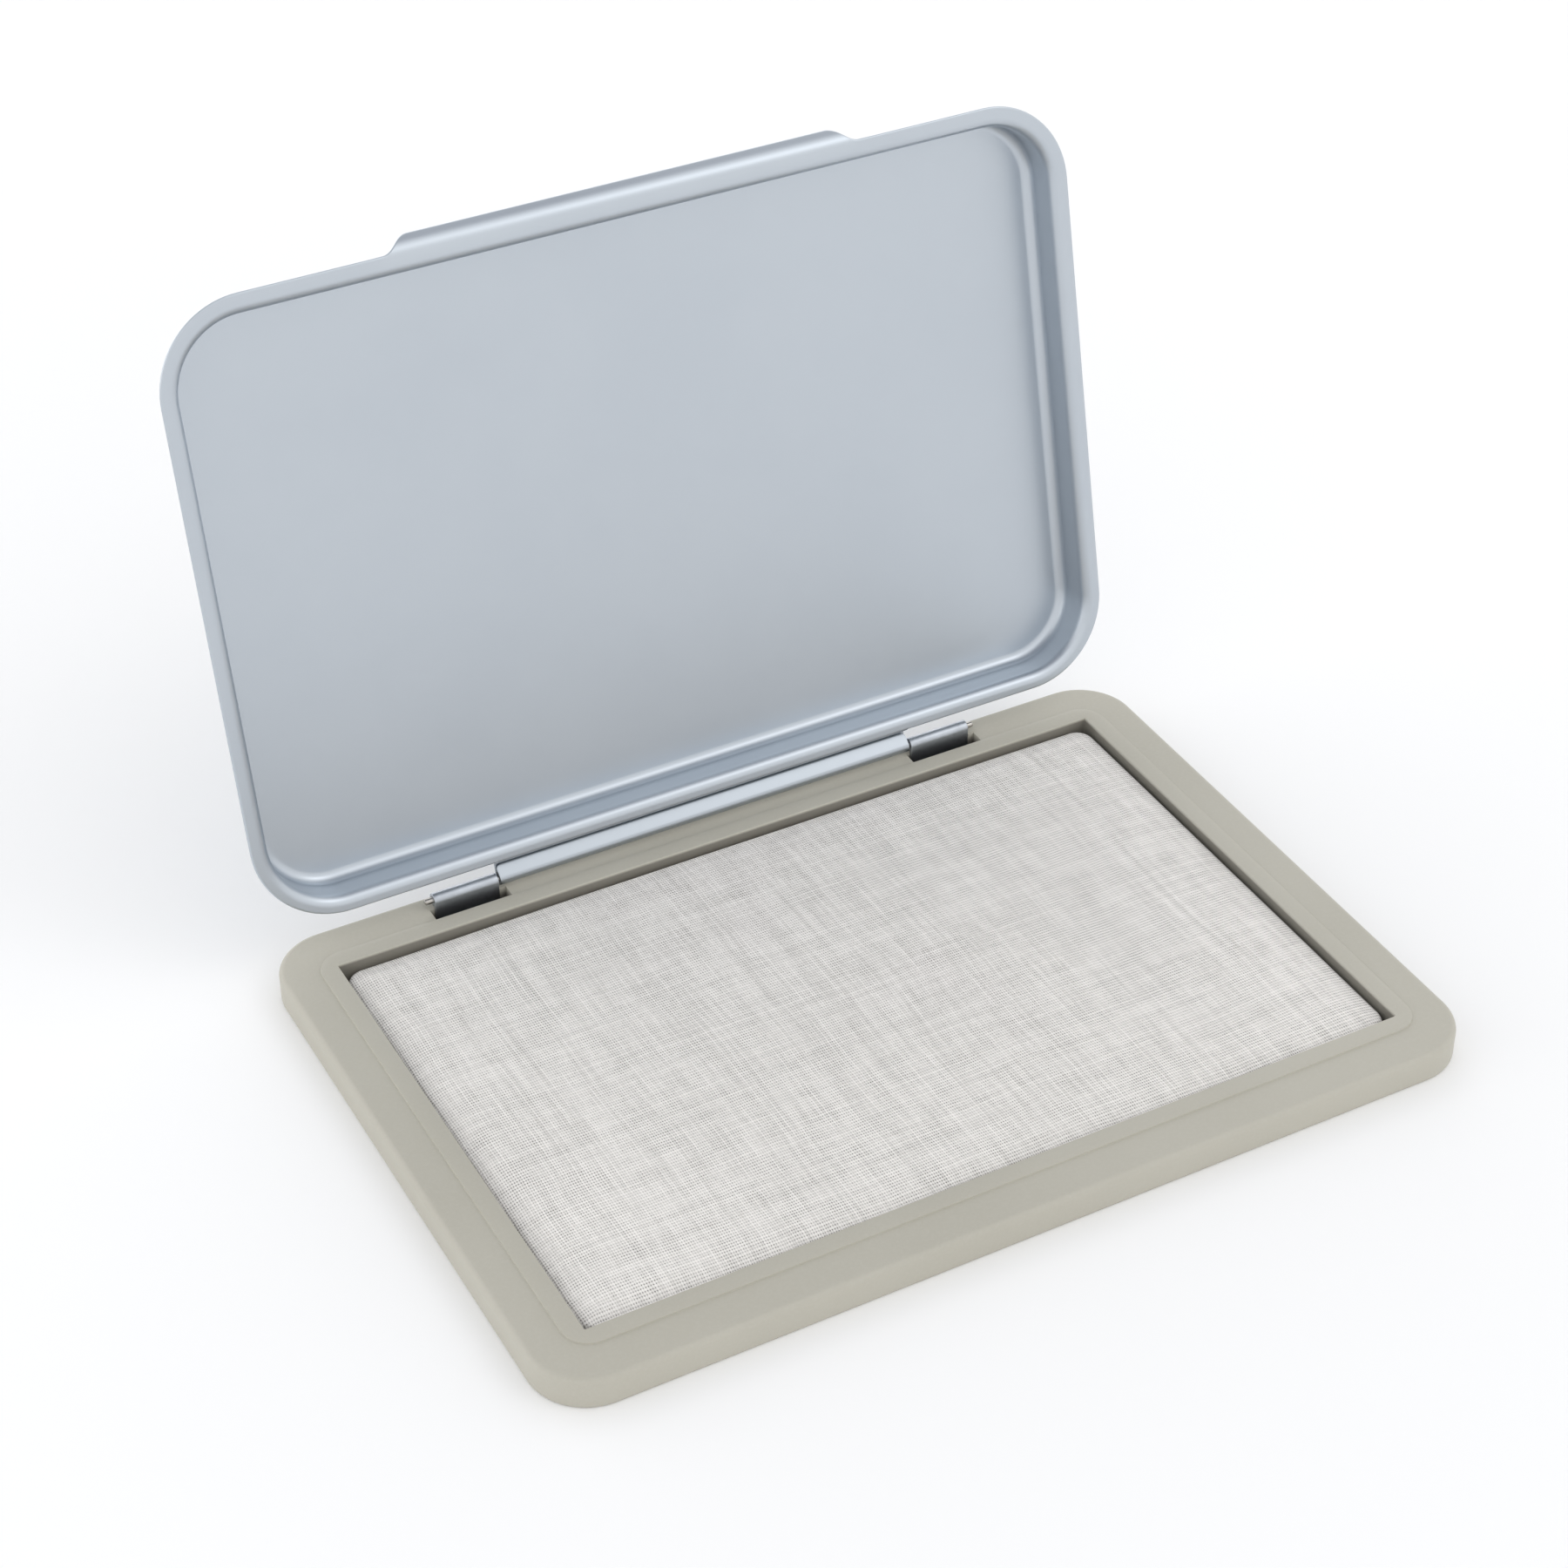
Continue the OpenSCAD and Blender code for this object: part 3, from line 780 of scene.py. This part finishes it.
# ------------------------------------------------------------------ tray
def tray():
    R = Rings([-1 + 2 * k / 40 for k in range(41)], [-1 + 2 * k / 28 for k in range(29)], 18)
    n = len(R.st)
    V, F = [], []
    w, d, r = 62.3, 42.95, 7.5

    def ring(dw, z, rr=None):
        """dw is how far in from the outer wall."""
        return add_ring(V, R.ring(w - dw, d - dw, (r - dw) if rr is None else rr), z)

    seq = [ring(6.5, 0.0)]
    seq += [ring(0.4 - 0.4 * math.cos(math.radians(a)), 0.4 - 0.4 * math.sin(math.radians(a))) for a in (90, 67, 45, 22, 0)]
    seq += [ring(0.0, z) for z in (1.2, 2.0)]
    seq += [ring(EDGE - EDGE * math.cos(math.radians(a)), LEDGE - EDGE + EDGE * math.sin(math.radians(a))) for a in range(0, 91, 9)]
    seq += [ring(EDGE + 0.6, LEDGE)]
    # ledge, then up on to the land
    lw, ld, lr = 57.4, 37.65, 3.4

    def land(dw, z):
        return add_ring(V, R.ring(lw + dw, ld + dw, max(lr + dw, 0.05)), z)

    seq += [land(0.9, LEDGE), land(0.32, LEDGE)]
    seq += [land(0.12 - 0.04 * math.sin(math.radians(a)), LEDGE + 0.04 - 0.04 * math.cos(math.radians(a))) for a in (0, 30, 60, 90)]
    seq += [land(-0.02 + 0.07 * math.cos(math.radians(a)), LAND - 0.07 + 0.07 * math.sin(math.radians(a))) for a in (15, 35, 60, 90)]
    seq += [land(-0.6, LAND)]
    ww, wd = 55.0, 35.25
    e = 0.14
    for a in (90, 67, 45, 22, 0):                   # the well's upper edge, slightly rounded
        ang = math.radians(a)
        off = e - e * math.cos(ang)
        seq.append(add_ring(V, R.ring(ww + off, wd + off, 0.12 + off), LAND - e + e * math.sin(ang)))
    seq += [add_ring(V, R.ring(ww, wd, 0.12), z) for z in (3.2, 2.2, 1.25)]
    seq += [add_ring(V, R.ring(ww - 0.2, wd - 0.2, 0.05), 1.0)]
    for k in range(len(seq) - 1):
        band(F, seq[k], seq[k + 1], n)
    F.append(tuple(seq[0]))
    F.append(tuple(seq[-1]))
    o = new_object("tray_body", V, F, None)

    # the two slots, their rims slightly broken, and the pockets under them
    mid = SHIFT + 0.3
    cutters = []
    for s in (-1, 1):
        x0, x1 = sorted((mid + s * 29.75, mid + s * 40.25))
        y0, y1 = 38.0, 39.95
        cv, cf = [], []
        levels = [(-1.0, 0.0), (LEDGE - 0.10, 0.0), (LEDGE - 0.035, 0.03), (LEDGE, 0.10), (LEDGE + 2, 0.10)]
        for z, g in levels:
            for (x, y) in ((x0 - g, y0 - g), (x1 + g, y0 - g), (x1 + g, y1 + g), (x0 - g, y1 + g)):
                cv.append((x, y, z))
        for k in range(len(levels) - 1):
            for i in range(4):
                j = (i + 1) % 4
                cf.append((4 * k + i, 4 * k + j, 4 * k + 4 + j, 4 * k + 4 + i))
        cf.append((0, 1, 2, 3))
        t = 4 * (len(levels) - 1)
        cf.append((t, t + 1, t + 2, t + 3))
        c = new_object("cut_slot", cv, cf, None)
        cutters.append(c)
        px0, px1, py0, py1, pz = x0 + 0.002, x1 - 0.002, 36.4, y1 - 0.002, 1.1
        cv = [(px0, py0, -1), (px1, py0, -1), (px1, py1, -1), (px0, py1, -1), (px0, py0, pz), (px1, py0, pz), (px1, py1, pz), (px0, py1, pz)]
        cf = [(0, 1, 2, 3), (4, 5, 6, 7), (0, 1, 5, 4), (1, 2, 6, 5), (2, 3, 7, 6), (3, 0, 4, 7)]
        cutters.append(new_object("cut_pocket", cv, cf, None))
    for c in cutters:
        m = o.modifiers.new("cut", "BOOLEAN")
        m.operation, m.solver, m.object = "DIFFERENCE", "EXACT", c
    bpy.context.view_layer.update()
    apply_modifiers(o, 32)
    for c in cutters:
        me = c.data
        bpy.data.objects.remove(c)
        bpy.data.meshes.remove(me)
    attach(o, "base")
    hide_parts("tray")
    paint(o, MAT["tray"])
    return o


# ------------------------------------------------------------------ hinge clips and wire
def strip(name, path, t, x0, x1, body, mat, node, edge=0.07, corner=0.3, cols=14):
    """A bent strip: a mid-line in (y, z) with a thickness t, from x0 to x1."""
    t2 = t / 2
    V, F, rows_a, rows_b = [], [], [], []
    L = [0.0]
    for p0, p1 in zip(path[:-1], path[1:]):
        L.append(L[-1] + math.hypot(p1[0] - p0[0], p1[1] - p0[1]))
    total = L[-1]
    for j, (y, z) in enumerate(path):
        a, b = path[max(j - 1, 0)], path[min(j + 1, len(path) - 1)]
        ty, tz = b[0] - a[0], b[1] - a[1]
        q = math.hypot(ty, tz)
        ny, nz = -tz / q, ty / q
        near = min(L[j], total - L[j])
        pull = 0.0
        if near < corner:
            pull = corner - math.sqrt(max(0.0, corner * corner - (corner - near) ** 2))
        ra, rb = [], []
        for i in range(cols + 1):
            f = i / cols
            x = x0 + pull + (x1 - x0 - 2 * pull) * f
            ra.append(len(V)); V.append((x, y + ny * t2, z + nz * t2))
            rb.append(len(V)); V.append((x, y - ny * t2, z - nz * t2))
        rows_a.append(ra); rows_b.append(rb)
    for j in range(len(path) - 1):
        for i in range(cols):
            F.append((rows_a[j][i], rows_a[j][i + 1], rows_a[j + 1][i + 1], rows_a[j + 1][i]))
            F.append((rows_b[j][i], rows_b[j][i + 1], rows_b[j + 1][i + 1], rows_b[j + 1][i]))
        for e in (0, cols):
            F.append((rows_a[j][e], rows_b[j][e], rows_b[j + 1][e], rows_a[j + 1][e]))
    for j in (0, len(path) - 1):
        for i in range(cols):
            F.append((rows_a[j][i], rows_a[j][i + 1], rows_b[j][i + 1], rows_b[j][i]))
    o = new_object(name, V, F, body)
    bevel(o, edge, 50, 2)
    apply_modifiers(o, 45)
    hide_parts(node)
    paint(o, mat)
    return o


def clips():
    t, rm = 0.5, 0.65
    path = [(36.62, 0.85), (36.9, 0.85), (37.4, 0.85), (38.2, 0.85), (39.2, 0.85)]
    path += arc(39.2, 1.3, 0.45, -90, 0, 8)[1:]
    path += [(39.65, z) for z in (2.0, 2.8, 3.6, 4.4, 5.0)]
    path += arc(HINGE_Y, HINGE_Z, rm, 180, -152, 44)
    out = []
    for s, name in ((-1, "clip_left"), (1, "clip_right")):
        a, b = SHIFT + s * 30.5, SHIFT + s * 39.4
        x0, x1 = min(a, b), max(a, b)
        out.append(strip(name + "_strip", path, t, x0, x1, "base", MAT["clip"], name))
    return out


def wire():
    """Drawn wire with nipped ends."""
    V, F = [], []
    n = 28
    x0, x1 = SHIFT - 40.5, SHIFT + 40.5
    prof = [(0.0, 0.24), (0.03, 0.31), (0.08, 0.36), (0.15, 0.39), (0.25, 0.398)]
    xs = [(x0 + a, r) for a, r in prof]
    xs += [(x0 + 0.25 + (x1 - x0 - 0.5) * k / 60, 0.398) for k in range(1, 60)]
    xs += [(x1 - a, r) for a, r in reversed(prof)]
    rings = []
    for x, r in xs:
        q = (x - SHIFT) / 40.5
        row = []
        for k in range(n):
            a = 2 * math.pi * k / n
            row.append(len(V))
            V.append((x, HINGE_Y + 0.0 * q + r * math.cos(a), HINGE_Z + r * math.sin(a)))
        rings.append(row)
    for a, b in zip(rings[:-1], rings[1:]):
        band(F, a, b, n)
    F.append(tuple(rings[0]))
    F.append(tuple(rings[-1]))
    o = new_object("hinge_wire_rod", V, F, "base", 40)
    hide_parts("hinge_wire")
    paint(o, MAT["wire"])
    return o


# ------------------------------------------------------------------ pad
PAD_W, PAD_D, PAD_R = 54.72, 34.98, 2.5       # half sizes


def edge_height(x, y):
    """How high the cloth's edge stands, which varies along the pad."""
    base = 3.25
    base -= 0.38 * max(0.0, min(1.0, (-x - 20) / 30.0))
    base += 0.10 * noise.noise(Vector((x * 0.05, y * 0.06, 0.4)))
    return base


def pad_top(x, y, dist):
    """Height of the cloth at a distance dist in from the pad's outline."""
    top = 3.93 + 0.10 * max(0.0, 1 - (x / 55.0) ** 2) * max(0.0, 1 - (y / 35.0) ** 2)
    top += 0.03 * noise.noise(Vector((x * 0.09, y * 0.09, 1.7))) + 0.012 * noise.noise(Vector((x * 0.35, y * 0.30, 5.2)))
    e = edge_height(x, y)
    q = min(1.0, max(0.0, dist / 5.2))
    return e + (top - e) * (1 - (1 - q) ** 2.4)


def pad_surface(name, inset, drop, body, node, mat, bottom):
    xs = [-1 + 2 * k / 110 for k in range(111)]
    ys = [-1 + 2 * k / 70 for k in range(71)]
    R = Rings(xs, ys, 14)
    n = len(R.st)
    V, F = [], []
    w, d, r = PAD_W - inset, PAD_D - inset, PAD_R - inset
    roll = 0.9 - inset * 0.5
    hw, hd = w - r, d - r

    def dist(x, y):
        qx, qy = abs(x) - hw, abs(y) - hd
        outside = math.hypot(max(qx, 0.0), max(qy, 0.0)) + min(max(qx, qy), 0.0)
        return r - outside

    seq = []
    for o in [0.0, 0.35 * (r - roll), 0.75 * (r - roll), r - roll]:
        pts = R.ring(hw + o, hd + o, max(o, 0.0))
        seq.append(add_ring(V, pts, [pad_top(x, y, dist(x, y) + inset) - drop for x, y in pts]))
    for a in (75, 58, 40, 20, 0):
        an = math.radians(a)
        o = r - roll + roll * math.cos(an)
        pts = R.ring(hw + o, hd + o, max(o, 0.0))
        ref = R.ring(hw + r - roll, hd + r - roll, max(r - roll, 0.0))
        seq.append(add_ring(V, pts, [pad_top(x, y, dist(x, y) + inset) - drop - roll * (1 - math.sin(an)) for x, y in ref]))
    for z in (bottom + 0.45, bottom + 0.15):
        seq.append(add_ring(V, R.ring(w, d, r), z))
    seq.append(add_ring(V, R.ring(w - 0.15, d - 0.15, r - 0.15), bottom))
    for a, b in zip(seq[:-1], seq[1:]):
        band(F, a, b, n)
    grid_fill(V, F, R, hw, hd, 0, height=lambda x, y: pad_top(x, y, dist(x, y) + inset) - drop)
    F.append(tuple(seq[-1]))
    o = new_object(name, V, F, body, 60)
    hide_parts(node)
    paint(o, mat)
    return o


def swell(o, most=0.20):
    """The felt pushes its linen cover out. The cover is blown up as cloth, held along its glued foot, at ten times
    its size, where the solver is steady, and the shape it takes is applied to the fine mesh, most mm at the most."""
    k = 10.0
    mesh = bpy.data.meshes.new("swell_cloth")
    mesh.from_pydata([tuple(c * k for c in v.co) for v in o.data.vertices], [], [tuple(f.vertices) for f in o.data.polygons])
    cloth = bpy.data.objects.new("swell_cloth", mesh)
    bpy.context.scene.collection.objects.link(cloth)
    remesh = cloth.modifiers.new("remesh", "REMESH")
    remesh.mode = "VOXEL"
    remesh.voxel_size = 0.0125
    for other in bpy.context.selected_objects:
        other.select_set(False)
    cloth.select_set(True)
    bpy.context.view_layer.objects.active = cloth
    bpy.ops.object.modifier_apply(modifier="remesh")
    rest = [v.co.copy() for v in cloth.data.vertices]
    low = min(c.z for c in rest)
    foot = cloth.vertex_groups.new(name="foot")
    foot.add([i for i, c in enumerate(rest) if c.z < low + 0.022], 1.0, "REPLACE")
    sim = cloth.modifiers.new("cloth", "CLOTH")
    sim.settings.use_pressure = True
    sim.settings.uniform_pressure_force = 4.0
    sim.settings.effector_weights.gravity = 0.0
    sim.settings.vertex_group_mass = "foot"
    sim.settings.mass = 0.3
    sim.settings.bending_stiffness = 0.5
    sim.collision_settings.use_collision = False
    sim.point_cache.frame_start, sim.point_cache.frame_end = 1, 20
    for frame in range(1, 21):
        bpy.context.scene.frame_set(frame)
    done = cloth.evaluated_get(bpy.context.evaluated_depsgraph_get()).data
    moved = [done.vertices[i].co - rest[i] for i in range(len(rest))]
    far = max(d.length for d in moved)
    tree = kdtree.KDTree(len(rest))
    for i, c in enumerate(rest):
        tree.insert(c, i)
    tree.balance()
    print("cover cloth: %d points, moved %.1f mm at ten times the size" % (len(rest), far * 1000))
    for v in o.data.vertices:
        total, d = 0.0, Vector()
        for c, i, gap in tree.find_n(v.co * k, 8):
            w = 1.0 / (gap * gap + 0.00002)
            total += w
            d += moved[i] * w
        d = d / total * (most * 0.001 / far)
        v.co += Vector((max(-0.00008, min(0.00008, d.x)), max(-0.00008, min(0.00008, d.y)), max(0.0, d.z)))
    bpy.context.scene.frame_set(1)
    bpy.data.objects.remove(cloth, do_unlink=True)
    bpy.data.meshes.remove(mesh)
    o.data.update()


lid_o = lid()
tray_o = tray()
clip_o = clips()
wire_o = wire()
cover = pad_surface("pad_linen_cover", 0.0, 0.0, "base", "pad_cover", MAT["linen"], 1.0)
swell(cover)
felt_o = pad_surface("pad_felt_block", 0.36, 0.36, "base", "pad_felt", MAT["felt"], 2.16)
paint(nodes["pad_board"], MAT["board"])

# ------------------------------------------------------------------ floor, light, camera
bpy.ops.mesh.primitive_plane_add(size=6.0, location=(0, 0, -0.00001))
floor = bpy.context.object
floor.name = "floor"
paint(floor, floor_white())

world = bpy.data.worlds.new("studio")
bpy.context.scene.world = world
world.use_nodes = True
wt = Tree(world.node_tree)
bg = world.node_tree.nodes["Background"]
sky = world.node_tree.nodes.new("ShaderNodeSeparateXYZ")
wt.put(sky.inputs[0], world.node_tree.nodes.new("ShaderNodeTexCoord").outputs["Generated"])
# a white tent with a large soft light high up in front, a little to the right, and dimmer overhead
ahead = wt.math("ADD", wt.math("MULTIPLY", sky.outputs[0], 0.45), wt.math("MULTIPLY", sky.outputs[1], -0.89))
lobe = wt.math("MULTIPLY", wt.range(ahead, 0.02, 0.42, 0.0, 1.0, True), wt.range(sky.outputs[2], 0.54, 0.74, 0.0, 1.0, True))
tent = wt.mix(wt.range(sky.outputs[2], 0.62, 0.93, 0.0, 1.0, True), rgb(1.10, 1.10, 1.10), rgb(0.50, 0.515, 0.56))
behind = wt.math("MULTIPLY", wt.range(ahead, -0.55, -0.15, 1.0, 0.0, True), wt.range(sky.outputs[2], 0.30, 0.60, 1.0, 0.0, True))
tent = wt.mix(behind, tent, rgb(1.9, 1.9, 1.9))
wt.put(bg.inputs[0], wt.mix(lobe, tent, rgb(1.27, 1.27, 1.27)))
bg.inputs[1].default_value = 1.0


def area(name, loc, target, size, power, size_y=None, colour=(1, 1, 1)):
    l = bpy.data.lights.new(name, "AREA")
    l.energy, l.size, l.color = power, size, colour
    if size_y:
        l.shape, l.size_y = "RECTANGLE", size_y
    o = bpy.data.objects.new(name, l)
    bpy.context.scene.collection.objects.link(o)
    o.location = loc
    o.rotation_euler = (Vector(target) - Vector(loc)).to_track_quat("-Z", "Y").to_euler()
    return o


area("key_box", (1.35, -1.15, 1.9), (0.0, 0.0, 0.02), 0.9, 3.0, 0.9)

cam = bpy.data.cameras.new("camera")
cam_o = bpy.data.objects.new("camera", cam)
bpy.context.scene.collection.objects.link(cam_o)
cam.sensor_width, cam.lens = 36.0, 77.74
az, el = math.radians(28.48), math.radians(37.05)
fwd = Vector((math.sin(az) * math.cos(el), math.cos(az) * math.cos(el), -math.sin(el)))
cam_o.location = (-0.16018, -0.27510, 0.27664)
cam_o.rotation_mode = "QUATERNION"
cam_o.rotation_quaternion = fwd.to_track_quat("-Z", "Y")
cam.clip_start, cam.clip_end = 0.01, 20.0
bpy.context.scene.camera = cam_o
bpy.context.scene.view_settings.view_transform = "Standard"
